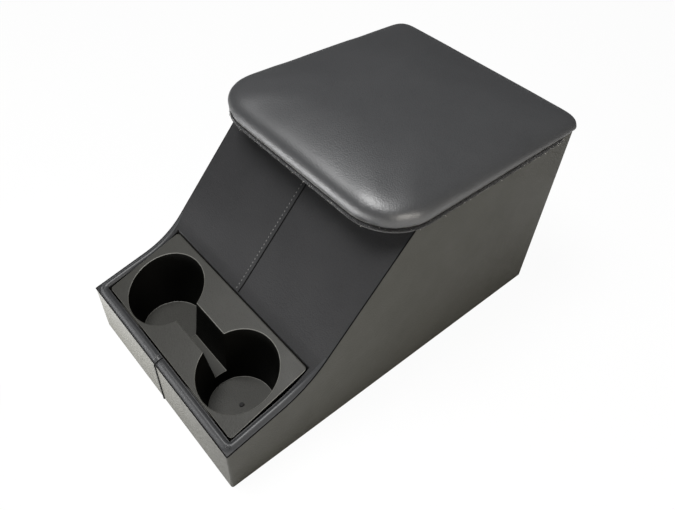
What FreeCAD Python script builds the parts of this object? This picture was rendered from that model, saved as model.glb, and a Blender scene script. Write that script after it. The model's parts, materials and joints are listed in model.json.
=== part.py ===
# Cubby box: a vinyl covered board box for between two car seats. The low front end
# carries a drop-in cup tray, a slope rises behind it, and a padded lid hinged at the
# rear closes the storage bin. Front faces -Y, width along X, +Z up, millimetres.
import FreeCAD, Part
import math
import os
import re

import Sketcher

# Driving sizes
SIZES = {
    "box_width": 260, "box_length": 452, "box_height": 228,
    "rim_front_height": 65, "rim_angle": 13.5, "knee_distance": 94.5, "knee_radius": 100,
    "slope_angle": 48.5,
    "board_thick": 8, "base_thick": 12, "panel_thick": 5, "cover_thick": 1.2, "carpet_thick": 3,
    "seam_gap": 0.3, "corner_round": 2.5, "hem_width": 22, "turn_in": 18,
    "tray_clearance": 1.6, "tray_length": 96.5, "tray_tilt": 18.9, "tray_thick": 3,
    "tray_front_drop": 1, "tray_corner": 4,
    "cup_spacing": 135, "cup_along": 46.3, "cup_radius": 44, "cup_floor_radius": 35.2,
    "cup_wall": 2.5, "cup_floor_thick": 2, "slot_width": 27.6, "slot_floor_width": 14, "slot_rise": 15,
    "tray_screw_radius": 1.75, "tray_screw_head": 2.8, "tray_screw_head_height": 1.4,
    "tray_screw_length": 9,
    "lid_gap": 0.3, "lid_width": 270, "lid_front_overhang": 43, "lid_rear_overhang": 7,
    "lid_front_depth": 36, "lid_rear_depth": 20, "lid_front_corner": 40, "lid_rear_corner": 18,
    "lid_top_round": 13, "lid_under_round": 4, "lid_board_thick": 9, "liner_inset": 6,
    "hinge_length": 220, "hinge_leaf_width": 20, "hinge_leaf_thick": 1.2, "knuckle_radius": 2.7,
    "knuckle_count": 11, "hinge_pin_radius": 1.3, "hinge_play": 0.3, "pin_play": 0.1,
    "hinge_screw_count": 5, "hinge_screw_radius": 1.5, "hinge_screw_head": 2.7,
    "hinge_screw_head_height": 1.2, "hinge_screw_length": 8,
    "bolt_hole_radius": 3.5, "bolt_spacing_x": 160, "bolt_spacing_y": 200,
}

doc = FreeCAD.newDocument("cubby_box")
sheet = doc.addObject("Spreadsheet::Sheet", "Sizes")
for row, (alias, number) in enumerate(SIZES.items(), start=1):
    sheet.set(f"A{row}", str(number))
    sheet.setAlias(f"A{row}", alias)
doc.recompute()

WORDS = re.compile(r"\b(" + "|".join(SIZES) + r")\b")
sub_parts = {}


def sized(text):
    """Expression text with each size name pointing at its cell."""
    return WORDS.sub(r"Sizes.\1", text)


def value(text):
    """Number that an expression gives with the sheet's present sizes."""
    return float(sheet.evalExpression(sized(text)))


def bind(thing, prop, text):
    """Tie one property of an object to an expression of the driving sizes."""
    thing.setExpression(prop, sized(text))


def keep(label, thing):
    """Name an object as a finished piece of the box."""
    thing.Label = label
    sub_parts[label] = thing
    return thing


# Places worked out from the driving sizes. Lengths along Y start at the box's front face.
FRONT = "(-(box_length + lid_rear_overhang)/2)"
HALF = "(box_width/2)"
INNER = "(box_width/2 - cover_thick - board_thick)"
FRONT_INNER = "(cover_thick + board_thick)"
REAR_INNER = "(box_length - cover_thick - board_thick)"
BASE_TOP = "(cover_thick + base_thick)"
KNEE_Z = "(rim_front_height + knee_distance*tan(rim_angle))"
SEAM = "(seam_gap/2)"
PANEL_BACK = "(cover_thick + panel_thick)"
COVER_BACK = "(2*cover_thick + panel_thick)"
LINED_BACK = "(cover_thick + panel_thick + carpet_thick)"
TRAY_Y = "(2*cover_thick + board_thick + tray_clearance)"
TRAY_Z = f"(rim_front_height + {TRAY_Y}*tan(rim_angle) - tray_front_drop)"
TRAY_HALF = f"({INNER} - cover_thick - tray_clearance)"
BAY_REAR = f"({TRAY_Y} + tray_length*cos(tray_tilt) + tray_clearance)"
DIVIDER_Y = f"({BAY_REAR} + cover_thick)"
BIN_FRONT = f"({DIVIDER_Y} + board_thick)"
CUP_Y = f"({TRAY_Y} + cup_along*cos(tray_tilt))"
CUP_FLOOR = f"({BASE_TOP} + cup_floor_thick)"
LID_Z = "(box_height + lid_gap + carpet_thick)"
PIN_Y = "(box_length + hinge_play + knuckle_radius)"
PIN_Z = f"({LID_Z} - knuckle_radius)"
LINING_TOP = "(box_height - turn_in)"


def rim_z(along, depth):
    """Height of the rim line, measured depth below the covered surface."""
    return f"(rim_front_height + ({along})*tan(rim_angle) - ({depth})/cos(rim_angle))"


def slope_y(height, depth):
    """Distance back at which the slope reaches a height, depth below the covered surface."""
    return f"(knee_distance + (({height}) - {KNEE_Z} + ({depth})/cos(slope_angle))/tan(slope_angle))"


def knee(depth):
    """Corner between rim and slope, depth below the covered surface, with its round."""
    lean = "(rim_angle + slope_angle)/2"
    spread = f"({depth})/cos((slope_angle - rim_angle)/2)"
    return (f"(knee_distance + {spread}*sin({lean}))", f"({KNEE_Z} - {spread}*cos({lean}))",
            f"(knee_radius + ({depth}))")


SLOPE_TOP = slope_y("box_height", "0")
HOOK_END = slope_y("box_height", COVER_BACK)


def tray_point(along, rise):
    """Y and Z of a point on the tilted tray, along it from its front edge and above its top."""
    return (f"({TRAY_Y} + ({along})*cos(tray_tilt) - ({rise})*sin(tray_tilt))",
            f"({TRAY_Z} + ({along})*sin(tray_tilt) + ({rise})*cos(tray_tilt))")


def box(name, x_span, y_span, z_span):
    """Rectangular block between pairs of limits."""
    block = doc.addObject("Part::Box", name)
    for side, (low, high) in zip(("Length", "Width", "Height"), (x_span, y_span, z_span)):
        bind(block, side, f"({high}) - ({low})")
    bind(block, "Placement.Base.x", x_span[0])
    bind(block, "Placement.Base.y", f"{FRONT} + {y_span[0]}")
    bind(block, "Placement.Base.z", z_span[0])
    return block


def rod(name, radius, length, x, y, z, axis=FreeCAD.Vector(0, 0, 1)):
    """Cylinder that starts at a point and runs along an axis."""
    bar = doc.addObject("Part::Cylinder", name)
    bar.Placement = FreeCAD.Placement(FreeCAD.Vector(), FreeCAD.Rotation(FreeCAD.Vector(0, 0, 1), axis))
    bind(bar, "Radius", radius)
    bind(bar, "Height", length)
    set_place(bar, x, y, z)
    return bar


def set_place(thing, x, y, z):
    """Tie an object's place to expressions."""
    bind(thing, "Placement.Base.x", x)
    bind(thing, "Placement.Base.y", f"{FRONT} + {y}")
    bind(thing, "Placement.Base.z", z)


def fuse(name, shapes):
    """Union of several objects."""
    joined = doc.addObject("Part::MultiFuse", name)
    joined.Shapes = shapes
    return joined


def group(name, shapes):
    """Separate solids that share one piece."""
    together = doc.addObject("Part::Compound", name)
    together.Links = shapes
    return together


def cut(name, base, tool):
    """First object less the second."""
    left = doc.addObject("Part::Cut", name)
    left.Base = base
    left.Tool = tool
    return left


def common(name, base, tool):
    """Space that two objects share."""
    shared = doc.addObject("Part::Common", name)
    shared.Base = base
    shared.Tool = tool
    return shared


def mirrored(name, source):
    """Left hand copy of a right hand piece."""
    copy = doc.addObject("Part::Mirroring", name)
    copy.Source = source
    copy.Normal = (1, 0, 0)
    return copy


def outline(body, role, corners, offset):
    """Closed sketch through bound corners; a corner with a third entry is rounded by it."""
    sketch = body.newObject("Sketcher::SketchObject", f"{body.Name}_outline")
    plane = next(item for item in body.Origin.OriginFeatures if item.Role == role)
    sketch.AttachmentSupport = [(plane, "")]
    sketch.MapMode = "FlatFace"
    for letter, text in zip("xyz", offset):
        bind(sketch, f"AttachmentOffset.Base.{letter}", text)
    spots = [FreeCAD.Vector(value(corner[0]), value(corner[1]), 0) for corner in corners]
    count = len(corners)
    entries, exits, arcs = [], [], {}
    for index, corner in enumerate(corners):
        spot = spots[index]
        into = (spot - spots[index - 1]).normalize()
        out = (spots[(index + 1) % count] - spot).normalize()
        if len(corner) == 2:
            entries.append(spot)
            exits.append(spot)
            continue
        radius = value(corner[2])
        half_turn = into.getAngle(out) / 2
        entries.append(spot - into * (radius * math.tan(half_turn)))
        exits.append(spot + out * (radius * math.tan(half_turn)))
        centre = spot + (out - into).normalize() * (radius / math.cos(half_turn))
        turns_left = into.cross(out).z > 0
        ends = (entries[-1], exits[-1]) if turns_left else (exits[-1], entries[-1])
        angles = [math.atan2(end.y - centre.y, end.x - centre.x) for end in ends]
        circle = Part.Circle(centre, FreeCAD.Vector(0, 0, 1), radius)
        arcs[index] = (Part.ArcOfCircle(circle, *angles), turns_left)
    for index in range(count):
        sketch.addGeometry(Part.LineSegment(exits[index], entries[(index + 1) % count]), False)

    def tie(geometry, corner):
        for kind, text in zip(("DistanceX", "DistanceY"), corner):
            number = sketch.addConstraint(Sketcher.Constraint(kind, -1, 1, geometry, 1, value(text)))
            bind(sketch, f"Constraints[{number}]", text)

    for index, corner in enumerate(corners):
        before = (index - 1) % count
        if index not in arcs:
            sketch.addConstraint(Sketcher.Constraint("Coincident", before, 2, index, 1))
            tie(index, corner)
            continue
        curve, turns_left = arcs[index]
        arc = sketch.addGeometry(curve, False)
        near, far = (1, 2) if turns_left else (2, 1)
        sketch.addConstraint(Sketcher.Constraint("Tangent", before, 2, arc, near))
        sketch.addConstraint(Sketcher.Constraint("Tangent", arc, far, index, 1))
        number = sketch.addConstraint(Sketcher.Constraint("Radius", arc, value(corner[2])))
        bind(sketch, f"Constraints[{number}]", corner[2])
        mark = sketch.addGeometry(Part.Point(spots[index]), True)
        sketch.addConstraint(Sketcher.Constraint("PointOnObject", mark, 1, before))
        sketch.addConstraint(Sketcher.Constraint("PointOnObject", mark, 1, index))
        tie(mark, corner[:2])
    return sketch


def padded_outline(name, role, corners, low, high, shift=("0", "0")):
    """Body that pads an outline between two limits along its plane's normal."""
    body = doc.addObject("PartDesign::Body", name)
    bind(body, "Placement.Base.y", FRONT)
    sketch = outline(body, role, corners, (*shift, low))
    pad = body.newObject("PartDesign::Pad", f"{name}_pad")
    pad.Profile = sketch
    bind(pad, "Length", f"({high}) - ({low})")
    return body


def under_profile(name, depth, top="box_height"):
    """All the space below the side profile, taken depth under the covered surface."""
    corners = [("0", "0"), ("box_length", "0"), ("box_length", top), (slope_y(top, depth), top),
               knee(depth), ("0", rim_z("0", depth))]
    return padded_outline(name, "YZ_Plane", corners, f"-{HALF}", HALF)


def round_off(body, name, references, radius):
    """Fillet on edges or faces of a body's last feature."""
    base = body.Tip
    fillet = body.newObject("PartDesign::Fillet", name)
    fillet.Base = (base, references)
    bind(fillet, "Radius", radius)
    body.Tip = fillet
    doc.recompute()


# Spaces below the profile that trim the boards, covers and lining
under_cover_face = under_profile("under_cover_face", "0")
under_cover = under_profile("under_cover", "cover_thick", "box_height - cover_thick")
under_turn_in = under_profile("under_turn_in", "turn_in")
under_panel = under_profile("under_panel", PANEL_BACK)
under_hook = under_profile("under_hook", COVER_BACK)
under_lining = under_profile("under_lining", LINED_BACK)


def bolt_holes():
    """Four holes that bolt the box down through its base."""
    middle = f"({BIN_FRONT} + {REAR_INNER})/2"
    return group("bolt_holes", [
        rod(f"bolt_hole_{across}_{back}", "bolt_hole_radius", f"{BASE_TOP} + carpet_thick",
            f"{across}*bolt_spacing_x/2", f"{middle} + {back}*bolt_spacing_y/2", "0")
        for across in (-1, 1) for back in (-1, 1)])


def tray_screws():
    """Pan head screws through the cup floors into the base."""
    screws = []
    for side in (-1, 1):
        x = f"{side}*cup_spacing/2"
        shank = rod(f"tray_screw_shank_{side}", "tray_screw_radius", "tray_screw_length", x, CUP_Y,
                    f"{CUP_FLOOR} - tray_screw_length")
        head = doc.addObject("Part::Cone", f"tray_screw_head_{side}")
        bind(head, "Radius1", "tray_screw_head")
        bind(head, "Radius2", "(tray_screw_head + tray_screw_radius)/2")
        bind(head, "Height", "tray_screw_head_height")
        set_place(head, x, CUP_Y, CUP_FLOOR)
        screws.append(fuse(f"tray_screw_{side}", [shank, head]))
    return keep("tray_screws", group("tray_screws", screws))


def screw_row(name, radius, length, y, z, axis):
    """Row of equal rods along the hinge."""
    count = int(value("hinge_screw_count"))
    return [rod(f"{name}_{index}", radius, length,
                f"(({index} + 0.5)/hinge_screw_count - 0.5)*hinge_length", y, z, axis)
            for index in range(count)]


def hinge_screws(name, y, z, axis, head_y, head_z):
    """Screws of one leaf: shanks that start at the leaf's face and heads that stand on it."""
    shanks = screw_row(f"{name}_shank", "hinge_screw_radius", "hinge_screw_length", y, z, axis)
    heads = screw_row(f"{name}_head", "hinge_screw_head", "hinge_screw_head_height", head_y, head_z, axis)
    pairs = [fuse(f"{name}_{index}", list(pair)) for index, pair in enumerate(zip(shanks, heads))]
    return keep(name, group(name, pairs)), group(f"{name}_holes", shanks)


def carcass(holes_down, tray_fixings, hinge_holes):
    """Boards of the box, the bent slope panel and the divider behind the cups."""
    rail = "(box_height - cover_thick)"
    side_face = box("side_face", (INNER, f"{INNER} + board_thick"),
                    ("cover_thick", "box_length - cover_thick"), ("cover_thick", rail))
    right = keep("right_side_board", common("right_side_board", side_face, under_cover))
    keep("left_side_board", mirrored("left_side_board", right))
    across = (f"-{INNER}", INNER)
    front_face = box("front_face", across, ("cover_thick", FRONT_INNER), ("cover_thick", rail))
    keep("front_board", common("front_board", front_face, under_cover))
    rear_face = box("rear_face", across, (REAR_INNER, "box_length - cover_thick"), ("cover_thick", rail))
    keep("rear_board", cut("rear_board", rear_face, hinge_holes))
    base = box("base_face", across, (FRONT_INNER, REAR_INNER), ("cover_thick", BASE_TOP))
    keep("base_board", cut("base_board", cut("base_bolted", base, holes_down), tray_fixings))
    panel_space = box("panel_space", across, (DIVIDER_Y, REAR_INNER), ("cover_thick", rail))
    panel_under = common("panel_under", panel_space, under_cover)
    keep("slope_panel", cut("slope_panel", panel_under, under_panel))
    divider = box("divider_face", across, (DIVIDER_Y, BIN_FRONT), (BASE_TOP, rail))
    keep("cup_bay_divider", common("cup_bay_divider", divider, under_panel))


def tray(tray_fixings):
    """Drop-in cup tray: a tilted plate with two tapered cups and a slot between them."""
    plate = padded_outline(
        "tray_plate", "XY_Plane",
        [("0", "0", "tray_corner"), (f"2*{TRAY_HALF}", "0", "tray_corner"),
         (f"2*{TRAY_HALF}", "tray_length", "tray_corner"), ("0", "tray_length", "tray_corner")],
        "-tray_thick", "0", (f"-{TRAY_HALF}", "0"))
    tilt = FreeCAD.Rotation(FreeCAD.Vector(1, 0, 0), value("tray_tilt"))
    plate.Placement = FreeCAD.Placement(FreeCAD.Vector(), tilt)
    bind(plate, "Placement.Rotation.Angle", "tray_tilt")
    set_place(plate, "0", TRAY_Y, TRAY_Z)

    def ring(name, radius, x, y, z, tilted):
        circle = doc.addObject("Part::Circle", name)
        bind(circle, "Radius", radius)
        if tilted:
            circle.Placement = FreeCAD.Placement(FreeCAD.Vector(), tilt)
            bind(circle, "Placement.Rotation.Angle", "tray_tilt")
        set_place(circle, x, y, z)
        return circle

    def well(name, side, wall, rise, floor):
        x = f"{side}*cup_spacing/2"
        mouth_place = tray_point("cup_along", rise)
        mouth = ring(f"{name}_mouth_{side}", f"cup_radius + {wall}", x, *mouth_place, True)
        bottom = ring(f"{name}_floor_{side}", f"cup_floor_radius + {wall}", x, CUP_Y, floor, False)
        loft = doc.addObject("Part::Loft", f"{name}_{side}")
        loft.Sections = [bottom, mouth]
        loft.Solid = True
        loft.Ruled = True
        return loft

    def slot(name, wall, rise, floor):
        reach = f"(slot_width/2 + {wall})"
        foot = f"(slot_floor_width/2 + {wall})"
        corners = [(f"{CUP_Y} - {foot}", floor), (f"{CUP_Y} + {foot}", floor),
                   tray_point(f"cup_along + {reach}", rise), tray_point(f"cup_along - {reach}", rise)]
        return padded_outline(name, "YZ_Plane", corners, "-cup_spacing/2", "cup_spacing/2")

    saddle = f"({CUP_FLOOR} + slot_rise)"
    shells = [well("cup_shell", side, "cup_wall", "-tray_thick/2", BASE_TOP) for side in (-1, 1)]
    shells.append(slot("slot_shell", "cup_wall", "-tray_thick/2", f"{saddle} - cup_wall"))
    spaces = [well("cup_space", side, "0", "tray_thick/2", CUP_FLOOR) for side in (-1, 1)]
    spaces.append(slot("slot_space", "0", "tray_thick/2", saddle))
    solid = fuse("tray_solid", [plate, *shells])
    hollow = cut("tray_hollow", solid, fuse("tray_spaces", spaces))
    keep("cup_holder_tray", cut("cup_holder_tray", hollow, tray_fixings))


def top_covers():
    """Vinyl over the rim and slope, turned in round the tray bay and behind the slope's top."""
    skin = cut("top_skin", under_cover_face, under_cover)
    right_half = box("top_half", (SEAM, HALF), ("0", HOOK_END), ("cover_thick", "box_height"))
    bay_edge = f"{INNER} - cover_thick"
    bay = box("bay_opening", ("0", bay_edge), (f"{FRONT_INNER} + cover_thick", BAY_REAR),
              ("0", "box_height"))
    sheet_part = cut("top_sheet", common("top_skin_half", skin, right_half), bay)
    fold = cut("fold_depth", under_cover_face, under_turn_in)
    tall = ("cover_thick", "box_height")
    side_fold = box("side_fold_space", (bay_edge, INNER), (FRONT_INNER, DIVIDER_Y), tall)
    front_fold = box("front_fold_space", (SEAM, INNER), (FRONT_INNER, f"{FRONT_INNER} + cover_thick"), tall)
    rear_fold = box("rear_fold_space", (SEAM, INNER), (BAY_REAR, DIVIDER_Y), tall)
    bay_folds = common("bay_folds", fuse("bay_fold_spaces", [side_fold, front_fold, rear_fold]), fold)
    behind_panel = cut("behind_panel", under_panel, under_hook)
    hook_space = box("hook_space", (SEAM, INNER), ("0", HOOK_END), (LINING_TOP, "box_height"))
    hook = common("top_hook", behind_panel, hook_space)
    right = keep("right_top_cover", fuse("right_top_cover", [sheet_part, bay_folds, hook]))
    keep("left_top_cover", mirrored("left_top_cover", right))


def band_covers():
    """Vinyl round the side and half the front, hemmed below and wrapped over the bin's edge."""
    inside = f"{HALF} - cover_thick"
    corners = [(SEAM, "0"), (HALF, "0", "corner_round"), (HALF, "box_length"), (inside, "box_length"),
               (inside, "cover_thick"), (SEAM, "cover_thick")]
    wall = common("band_wall", padded_outline("band_plan", "XY_Plane", corners, "0", "box_height"),
                  under_cover)
    hem_height = ("0", "cover_thick")
    hem_edge = f"{HALF} - hem_width"
    side_hem = box("side_hem", (hem_edge, inside), ("cover_thick", "box_length"), hem_height)
    front_hem = box("front_hem", (SEAM, hem_edge), ("cover_thick", "hem_width"), hem_height)
    wrap_height = ("box_height - cover_thick", "box_height")
    wrap = box("side_wrap", (INNER, HALF), (HOOK_END, "box_length"), wrap_height)
    fold_space = box("side_turn_space", (f"{INNER} - cover_thick", INNER),
                     ("0", f"{REAR_INNER} - cover_thick"), (LINING_TOP, "box_height"))
    fold = common("side_turn", fold_space, under_hook)
    right = keep("right_band_cover", fuse("right_band_cover", [wall, side_hem, front_hem, wrap, fold]))
    keep("left_band_cover", mirrored("left_band_cover", right))


def rear_cover(hinge_holes):
    """Vinyl over the rear, hemmed below and turned over the rear board into the bin."""
    inside = f"({HALF} - cover_thick)"
    hem_edge = f"({HALF} - hem_width)"
    face = box("rear_cover_face", (f"-{inside}", inside), ("box_length - cover_thick", "box_length"),
               ("cover_thick", "box_height - cover_thick"))
    hem = box("rear_hem", (f"-{hem_edge}", hem_edge), ("box_length - hem_width", "box_length"),
              ("0", "cover_thick"))
    wrap = box("rear_wrap", (f"-{INNER}", INNER), (f"{REAR_INNER} - cover_thick", "box_length"),
               ("box_height - cover_thick", "box_height"))
    fold = box("rear_turn", (f"-{INNER}", INNER), (f"{REAR_INNER} - cover_thick", REAR_INNER),
               (LINING_TOP, "box_height"))
    whole = fuse("rear_cover_sheet", [face, hem, wrap, fold])
    keep("rear_cover", cut("rear_cover", whole, hinge_holes))


def lining(holes_down):
    """Carpet on the bin's floor and four walls."""
    floor_top = f"({BASE_TOP} + carpet_thick)"
    across = (f"-{INNER}", INNER)
    floor = box("floor_piece", across, (BIN_FRONT, REAR_INNER), (BASE_TOP, floor_top))
    keep("floor_carpet", cut("floor_carpet", floor, holes_down))
    upright = (floor_top, LINING_TOP)
    rear_face = f"({REAR_INNER} - carpet_thick)"
    keep("rear_carpet", box("rear_carpet", across, (rear_face, REAR_INNER), upright))
    front_face = f"({BIN_FRONT} + carpet_thick)"
    side = box("side_carpet_space", (f"{INNER} - carpet_thick", INNER), (front_face, rear_face), upright)
    right = keep("right_carpet", common("right_carpet", side, under_lining))
    keep("left_carpet", mirrored("left_carpet", right))
    front_space = box("front_carpet_space", across, (BIN_FRONT, rear_face), upright)
    bin_space = box("lined_bin_space", across, (front_face, rear_face), upright)
    keep("front_carpet", cut("front_carpet", common("front_carpet_under", front_space, under_panel),
                             common("lined_bin", bin_space, under_lining)))


def lid_form(name, inset):
    """Padded lid shape, drawn in by an inset all round: a wedge with rounded corners and rolls."""
    front = f"({SLOPE_TOP} - lid_front_overhang + {inset})"
    rear = f"(box_length + lid_rear_overhang - {inset})"
    low = f"({LID_Z} + {inset})"
    corners = [(front, low), (rear, low), (rear, f"{LID_Z} + lid_rear_depth - {inset}"),
               (front, f"{LID_Z} + lid_front_depth - {inset}")]
    side = f"(lid_width/2 - {inset})"
    body = padded_outline(name, "YZ_Plane", corners, f"-{side}", side)
    doc.recompute()
    middle = value(f"{FRONT} + ({front} + {rear})/2")

    def upright_edges(at_front):
        return [f"Edge{index}" for index, edge in enumerate(body.Shape.Edges, start=1)
                if abs(edge.tangentAt(edge.FirstParameter).z) > 0.99
                and (edge.CenterOfMass.y < middle) == at_front]

    def level_face(pick):
        faces = body.Shape.Faces
        heights = [face.CenterOfMass.z for face in faces]
        return [f"Face{heights.index(pick(heights)) + 1}"]

    round_off(body, f"{name}_front_corners", upright_edges(True), f"lid_front_corner - {inset}")
    round_off(body, f"{name}_rear_corners", upright_edges(False), f"lid_rear_corner - {inset}")
    round_off(body, f"{name}_top_roll", level_face(max), f"lid_top_round - {inset}")
    round_off(body, f"{name}_under_roll", level_face(min), f"lid_under_round - {inset}")
    return body


def lid(hinge_holes):
    """Lid: board and foam in a vinyl cover that is hemmed under, with a carpet liner below."""
    outer = lid_form("lid_outer", "0")
    inner = lid_form("lid_inner", "cover_thick")
    wide = ("-lid_width/2", "lid_width/2")
    front = f"({SLOPE_TOP} - lid_front_overhang)"
    long = (front, "box_length + lid_rear_overhang")
    board_top = f"({LID_Z} + cover_thick + lid_board_thick)"
    board_space = box("lid_board_space", wide, long, (LID_Z, board_top))
    board = common("lid_board_blank", inner, board_space)
    keep("lid_board", cut("lid_board", board, hinge_holes))
    keep("lid_foam", cut("lid_foam", inner, board_space))
    hem_half = "(lid_width/2 - hem_width)"
    hem_inside = padded_outline(
        "lid_hem_inside", "XY_Plane",
        [("0", "0", "lid_front_corner - hem_width"), (f"2*{hem_half}", "0", "lid_front_corner - hem_width"),
         (f"2*{hem_half}", f"box_length + lid_rear_overhang - hem_width - {front} - hem_width"),
         ("0", f"box_length + lid_rear_overhang - hem_width - {front} - hem_width")],
        LID_Z, f"{LID_Z} + cover_thick", (f"-{hem_half}", f"{front} + hem_width"))
    shell = cut("lid_shell", outer, inner)
    keep("lid_cover", cut("lid_cover", cut("lid_shell_open", shell, hem_inside), hinge_holes))
    liner_half = "(lid_width/2 - liner_inset)"
    liner_rear = f"({PIN_Y} - hinge_leaf_width - hinge_play)"
    liner_front = f"({front} + liner_inset)"
    liner = padded_outline(
        "lid_carpet", "XY_Plane",
        [("0", "0", "lid_front_corner - liner_inset"),
         (f"2*{liner_half}", "0", "lid_front_corner - liner_inset"),
         (f"2*{liner_half}", f"{liner_rear} - {liner_front}"), ("0", f"{liner_rear} - {liner_front}")],
        f"{LID_Z} - carpet_thick", LID_Z, (f"-{liner_half}", liner_front))
    keep("lid_carpet", liner)


def hinge(box_holes, lid_holes):
    """Piano hinge: two leaves with knuckles taken turn about, on one pin."""
    count = int(value("knuckle_count"))
    along_x = FreeCAD.Vector(1, 0, 0)
    bore = rod("hinge_bore", "hinge_pin_radius + pin_play", "hinge_length", "-hinge_length/2", PIN_Y, PIN_Z,
               along_x)
    keep("hinge_pin", rod("hinge_pin", "hinge_pin_radius", "hinge_length", "-hinge_length/2", PIN_Y, PIN_Z,
                          along_x))
    wide = ("-hinge_length/2", "hinge_length/2")
    hung_y = ("box_length", "box_length + hinge_leaf_thick")
    hung_z = f"({PIN_Z} - knuckle_radius - hinge_play)"
    level_y = f"({PIN_Y} - knuckle_radius - hinge_play)"
    level_z = (f"{LID_Z} - hinge_leaf_thick", LID_Z)
    box_leaf = [box("box_leaf_plate", wide, hung_y, (f"{PIN_Z} - hinge_leaf_width", hung_z))]
    lid_leaf = [box("lid_leaf_plate", wide, (f"{PIN_Y} - hinge_leaf_width", level_y), level_z)]
    for index in range(count):
        start = f"(-hinge_length/2 + {index}*hinge_length/knuckle_count + hinge_play/2)"
        end = f"(-hinge_length/2 + {index + 1}*hinge_length/knuckle_count - hinge_play/2)"
        barrel = rod(f"knuckle_{index}", "knuckle_radius", f"{end} - {start}", start, PIN_Y, PIN_Z, along_x)
        if index % 2 == 0:
            tab = box(f"box_leaf_tab_{index}", (start, end), hung_y, (hung_z, PIN_Z))
            box_leaf += [tab, barrel]
        else:
            tab = box(f"lid_leaf_tab_{index}", (start, end), (level_y, PIN_Y), level_z)
            lid_leaf += [tab, barrel]
    leaves = (("hinge_box_leaf", box_leaf, box_holes), ("hinge_lid_leaf", lid_leaf, lid_holes))
    for name, pieces, holes in leaves:
        bored = cut(f"{name}_bored", fuse(f"{name}_blank", pieces), bore)
        keep(name, cut(name, bored, holes))


holes_down = bolt_holes()
tray_fixings = tray_screws()
box_screw_z = f"({PIN_Z} - hinge_leaf_width/2 - knuckle_radius)"
leaf_face = "(box_length + hinge_leaf_thick)"
_, box_hinge_holes = hinge_screws(
    "hinge_box_screws", f"{leaf_face} - hinge_screw_length", box_screw_z, FreeCAD.Vector(0, 1, 0),
    leaf_face, box_screw_z)
lid_screw_y = f"({PIN_Y} - hinge_leaf_width/2 - knuckle_radius)"
lid_leaf_face = f"({LID_Z} - hinge_leaf_thick)"
_, lid_hinge_holes = hinge_screws(
    "hinge_lid_screws", lid_screw_y, lid_leaf_face, FreeCAD.Vector(0, 0, 1),
    lid_screw_y, f"{lid_leaf_face} - hinge_screw_head_height")
carcass(holes_down, tray_fixings, box_hinge_holes)
tray(tray_fixings)
top_covers()
band_covers()
rear_cover(box_hinge_holes)
lining(holes_down)
lid(lid_hinge_holes)
hinge(box_hinge_holes, lid_hinge_holes)
doc.recompute()

failed = [item.Name for item in doc.Objects if "Invalid" in item.State or "Error" in item.State]
for label, thing in sub_parts.items():
    if thing.Shape.isNull() or not thing.Shape.isValid() or not thing.Shape.Solids:
        failed.append(label)
if failed:
    raise RuntimeError("These objects failed: " + ", ".join(failed))
os.makedirs("parts", exist_ok=True)
for label, thing in sub_parts.items():
    thing.Shape.exportStep(f"parts/{label}.step")
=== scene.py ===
"""Dresses the cubby box: grained vinyl, sewn seams, a padded lid, moulded cup tray and carpet lining."""

import json
import logging
import math
import random
from dataclasses import dataclass, field
from enum import Enum

import bmesh
import bpy
from mathutils import Matrix, Quaternion, Vector

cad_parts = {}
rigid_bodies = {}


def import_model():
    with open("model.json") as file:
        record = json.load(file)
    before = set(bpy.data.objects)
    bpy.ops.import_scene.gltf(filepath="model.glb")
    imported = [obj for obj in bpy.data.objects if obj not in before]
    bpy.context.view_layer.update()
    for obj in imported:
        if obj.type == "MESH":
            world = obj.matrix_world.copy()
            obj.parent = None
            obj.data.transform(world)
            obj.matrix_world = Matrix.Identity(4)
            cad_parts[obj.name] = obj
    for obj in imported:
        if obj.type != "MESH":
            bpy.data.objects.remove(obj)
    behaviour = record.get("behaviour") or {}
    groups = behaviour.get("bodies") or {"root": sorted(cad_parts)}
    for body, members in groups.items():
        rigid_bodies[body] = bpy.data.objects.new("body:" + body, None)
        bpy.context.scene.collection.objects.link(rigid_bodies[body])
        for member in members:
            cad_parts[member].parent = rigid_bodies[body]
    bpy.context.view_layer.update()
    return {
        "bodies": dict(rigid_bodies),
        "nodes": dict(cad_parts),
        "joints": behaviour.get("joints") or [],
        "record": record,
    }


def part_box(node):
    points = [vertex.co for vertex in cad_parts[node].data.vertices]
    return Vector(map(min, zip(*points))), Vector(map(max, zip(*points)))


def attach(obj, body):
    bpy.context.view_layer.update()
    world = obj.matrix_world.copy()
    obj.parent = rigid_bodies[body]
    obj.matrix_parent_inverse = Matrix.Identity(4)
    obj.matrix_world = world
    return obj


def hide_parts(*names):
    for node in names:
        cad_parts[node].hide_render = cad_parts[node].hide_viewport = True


MM = 0.001
LOG = logging.getLogger("cubby_box")
Colour = tuple[float, float, float]
UP = Vector((0.0, 0.0, 1.0))

# Pebbled grain: how its cells are bent, and how much fine speckle lies on them.
WARP_SCALE, WARP_REACH = 240.0, 0.0012
SPECK_SCALE, SPECK_SHARE = 1900.0, 0.25
GRAIN_MEAN = 0.55
# Noise values that the slow mottle spreads over its whole range.
CLOUD_RANGE = (0.3, 0.7)
ROUGH_MOTTLE = 2.3
# Upward parts of the normal over which steep walls are darkened as painted shade and rounded edges paled as a
# painted highlight.
WALL_PAINTED_SHADE_RANGE = (0.4, 0.75)
EDGE_PAINTED_HIGHLIGHT_RANGE = (0.8, 0.93)
# The lid's padded edge, hem and felt: lifts above the solids, and plan corners at front and rear.
PAD_LIFT, HEM_LIFT, FELT_LIFT = 3 * MM, 1.6 * MM, 0.8 * MM
HEM_CORNERS = (52 * MM, 22 * MM)
FELT_CORNERS = (46 * MM, 17 * MM)


class Body(Enum):
    """Bodies of the frame that pieces ride on."""

    BOX = "box"
    LID = "lid"


class Slot(Enum):
    """Material slots of the record that new pieces take."""

    VINYL = "vinyl"
    CARPET = "carpet"


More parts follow.
